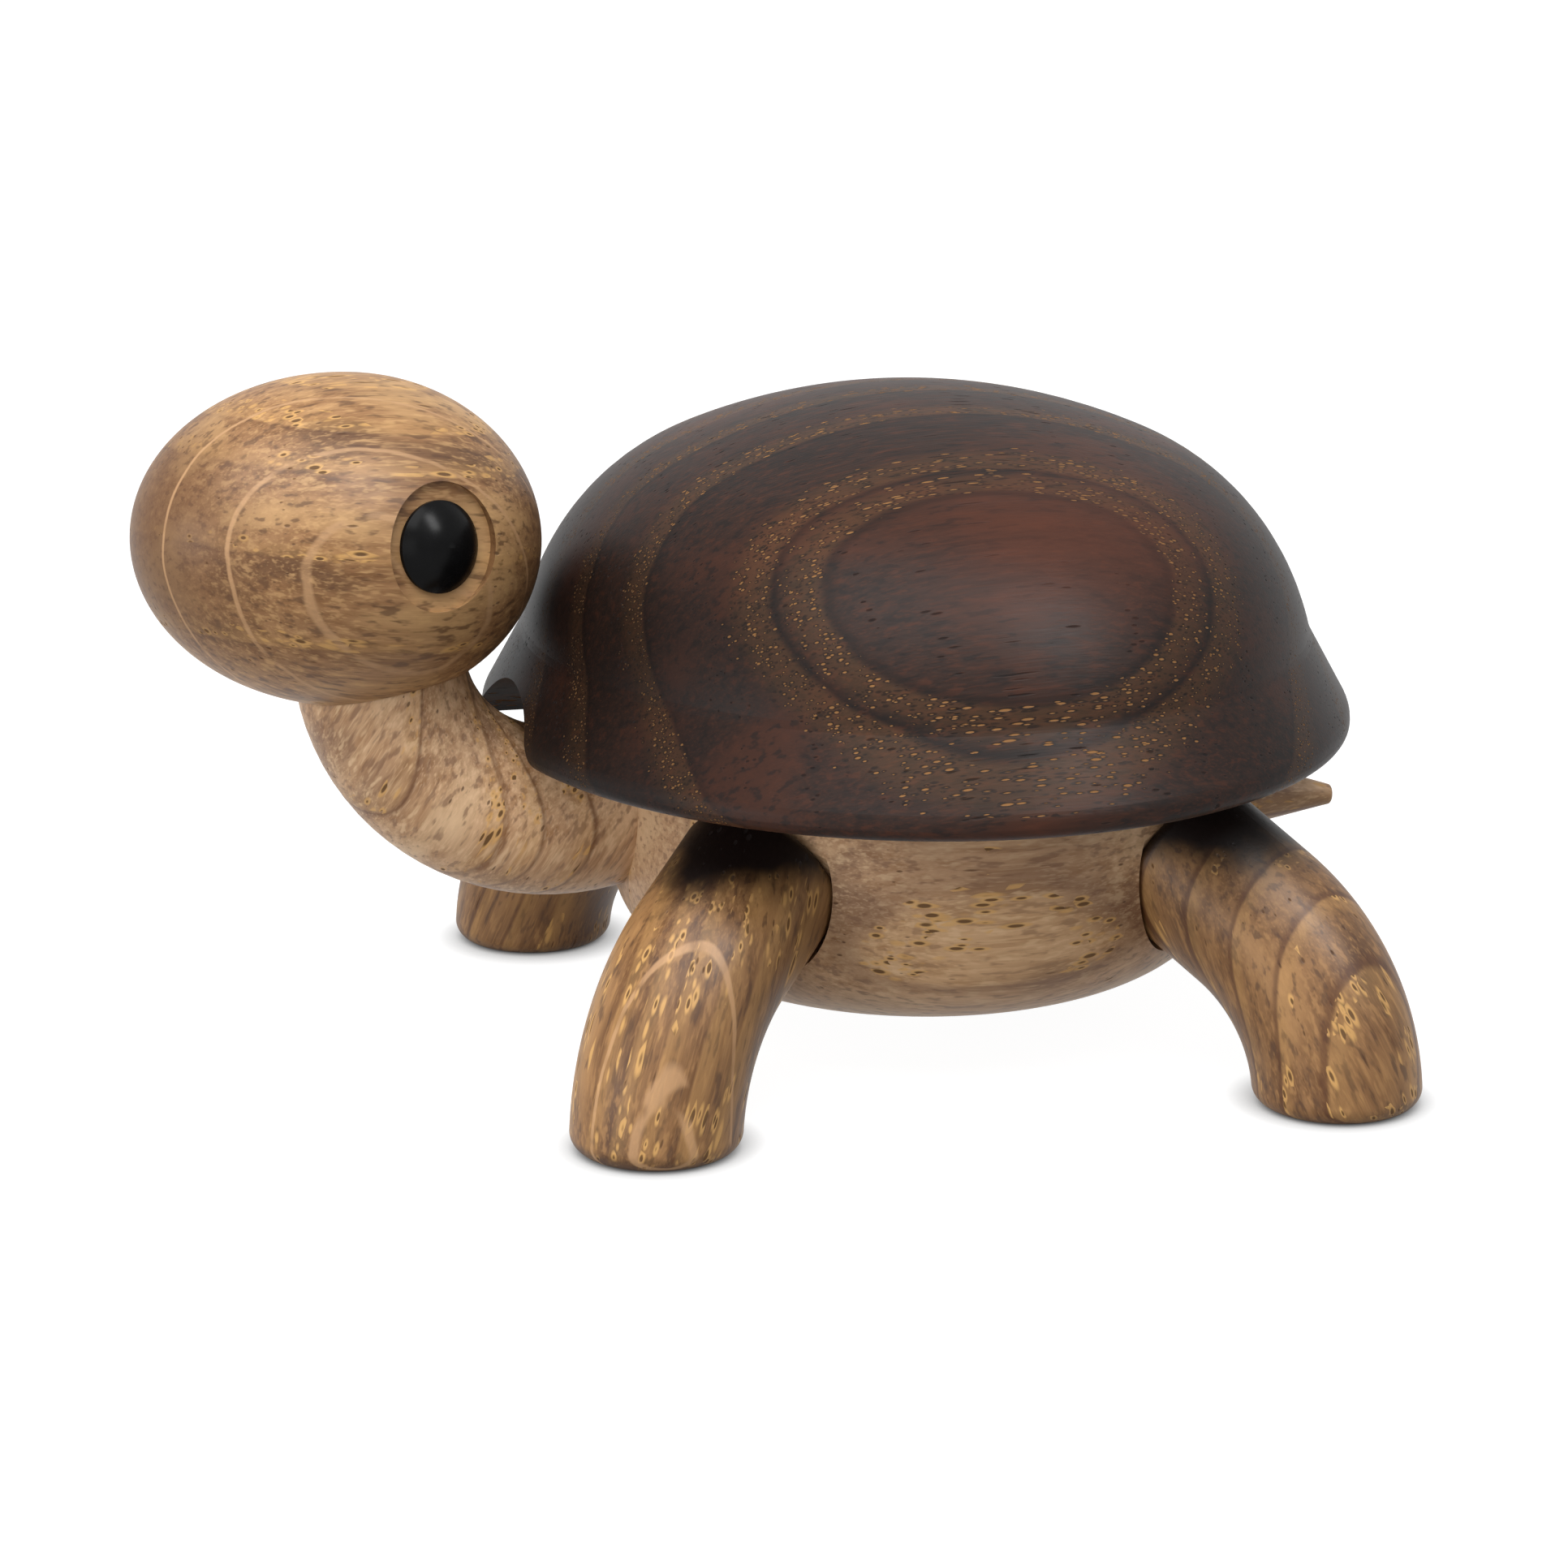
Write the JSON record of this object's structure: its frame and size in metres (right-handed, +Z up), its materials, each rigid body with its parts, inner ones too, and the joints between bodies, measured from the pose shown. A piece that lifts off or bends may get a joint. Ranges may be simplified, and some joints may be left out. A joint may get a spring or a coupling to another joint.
{
  "type": "turtle figurine",
  "caption": "Desk turtle figurine in oiled oak with a smoked oak shell that lifts off a small compartment; the head turns and the legs swivel on dowels.",
  "frame": {"origin": "on the ground the feet stand on, under the middle of the box round the whole figure at rest", "axes": "+Z up, -Y the way the turtle's body points, +X its left side, which faces the viewer; the head is turned towards +X at rest"},
  "size_m": [0.0682, 0.0886, 0.0498],
  "materials": {
    "oiled_oak": "satin",
    "smoked_oak": "satin",
    "black_eye": "polished",
    "beech_dowel": "raw",
    "magnet_nickel": "nickel plated"
  },
  "bodies": {
    "trunk": {"body": "oiled_oak", "neck": "oiled_oak", "neck_dowel": "beech_dowel", "tail": "oiled_oak", "head_pivot": "beech_dowel", "body_magnet_left": "magnet_nickel", "body_magnet_right": "magnet_nickel"},
    "head": {"head": "oiled_oak", "eye_left": "black_eye", "eye_right": "black_eye"},
    "shell": {"shell": "smoked_oak", "shell_magnet_left": "magnet_nickel", "shell_magnet_right": "magnet_nickel"},
    "leg_front_left": {"leg_front_left": "oiled_oak", "leg_dowel_front_left": "beech_dowel"},
    "leg_front_right": {"leg_front_right": "oiled_oak", "leg_dowel_front_right": "beech_dowel"},
    "leg_rear_left": {"leg_rear_left": "oiled_oak", "leg_dowel_rear_left": "beech_dowel"},
    "leg_rear_right": {"leg_rear_right": "oiled_oak", "leg_dowel_rear_right": "beech_dowel"}
  },
  "joints": [
    {"name": "head_turn", "type": "hinge", "parent": "trunk", "child": "head", "pos_m": [0, -0.0267, 0.0289], "axis": [0, -0.068, 0.9977], "range_deg": [-137, 83]},
    {"name": "shell_lift", "type": "slide", "parent": "trunk", "child": "shell", "axis": [0, 0.4695, 0.8829], "range_m": [0, 0.06]},
    {"name": "leg_turn_front_left", "type": "hinge", "parent": "trunk", "child": "leg_front_left", "pos_m": [0.01499, -0.00204, 0.01624], "axis": [0.6093, -0.6093, -0.5075], "range_deg": [-60, 60]},
    {"name": "leg_turn_front_right", "type": "hinge", "parent": "trunk", "child": "leg_front_right", "pos_m": [-0.01499, -0.00204, 0.01624], "axis": [-0.6093, -0.6093, -0.5075], "range_deg": [-60, 60]},
    {"name": "leg_turn_rear_left", "type": "hinge", "parent": "trunk", "child": "leg_rear_left", "pos_m": [0.01563, 0.02727, 0.01624], "axis": [0.6353, 0.5821, -0.5075], "range_deg": [-60, 60]},
    {"name": "leg_turn_rear_right", "type": "hinge", "parent": "trunk", "child": "leg_rear_right", "pos_m": [-0.01563, 0.02727, 0.01624], "axis": [-0.6353, 0.5821, -0.5075], "range_deg": [-60, 60]}
  ]
}
